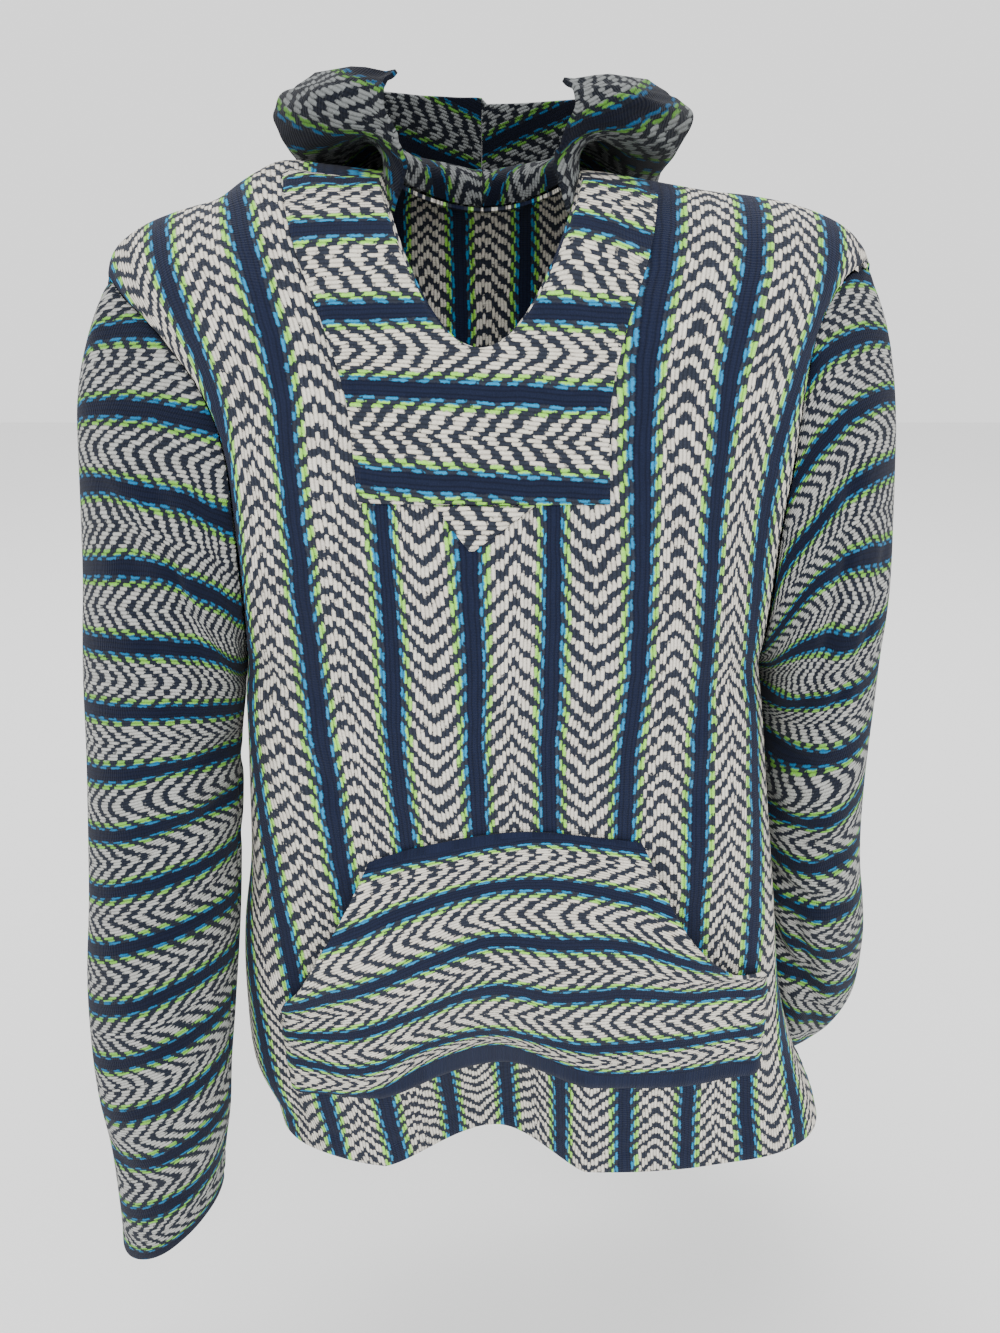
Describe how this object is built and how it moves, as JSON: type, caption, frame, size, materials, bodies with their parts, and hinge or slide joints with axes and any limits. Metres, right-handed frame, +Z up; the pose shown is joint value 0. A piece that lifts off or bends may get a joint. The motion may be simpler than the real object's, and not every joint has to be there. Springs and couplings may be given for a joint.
{
  "type": "baja hoodie",
  "caption": "Pull-over jacket of striped herringbone blanket cloth with a V neck yoke, a hood that hangs back, long sleeves and a front pocket.",
  "frame": {"origin": "between the shoulders in the middle of the neck opening, where the wearer carries the garment", "axes": "+Z up, the front faces -Y, +X to the right of the picture"},
  "size_m": [0.5948, 0.3154, 0.8234],
  "materials": {
    "body_cloth": "woven herringbone blanket cloth with navy stripes, matt",
    "sleeve_cloth": "the same cloth with its stripes round the arm, matt",
    "hood_cloth": "the same cloth, matt",
    "yoke_cloth": "the same cloth with its stripes across, matt",
    "pocket_cloth": "the same cloth with its stripes across, matt"
  },
  "bodies": {
    "root": {"front_panel": "body_cloth", "back_panel": "body_cloth", "left_sleeve": "sleeve_cloth", "right_sleeve": "sleeve_cloth", "hood_left": "hood_cloth", "hood_right": "hood_cloth", "yoke": "yoke_cloth", "yoke_tab": "yoke_cloth", "pocket": "pocket_cloth"}
  },
  "joints": []
}
